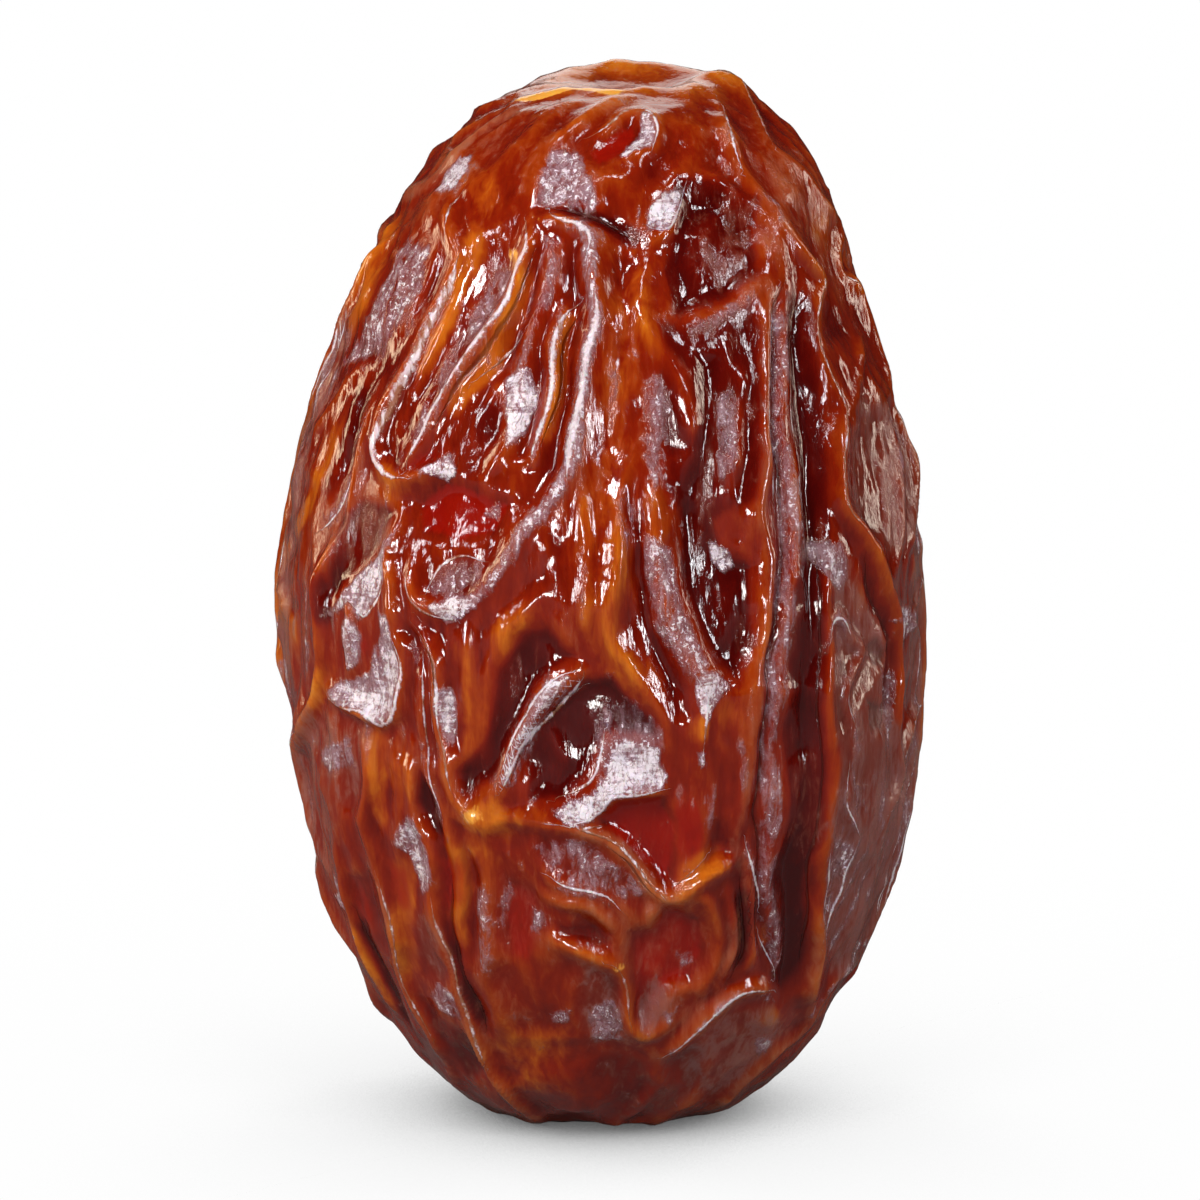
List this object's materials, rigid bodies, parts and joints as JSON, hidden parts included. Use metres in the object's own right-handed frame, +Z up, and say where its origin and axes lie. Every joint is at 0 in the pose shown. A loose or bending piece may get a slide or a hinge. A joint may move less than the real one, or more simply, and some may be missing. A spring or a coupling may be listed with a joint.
{
  "type": "date fruit",
  "caption": "Whole ripe date standing upright on its blossom end, with a deeply folded, glossy red-brown and amber skin and a dimpled stem scar.",
  "frame": {"origin": "middle of the small flat spot on the blossom end that the fruit stands on", "axes": "+Z up along the fruit towards the stem scar, +X to the fruit's right as seen from its front, front facing -Y"},
  "size_m": [0.0309, 0.0289, 0.0497],
  "materials": {
    "skin": "glossy, sticky, translucent fruit skin: amber on the folds, dark wine red in the hollows, with a pale sugar bloom in patches"
  },
  "bodies": {
    "root": {"date_fruit": "skin"}
  },
  "joints": []
}
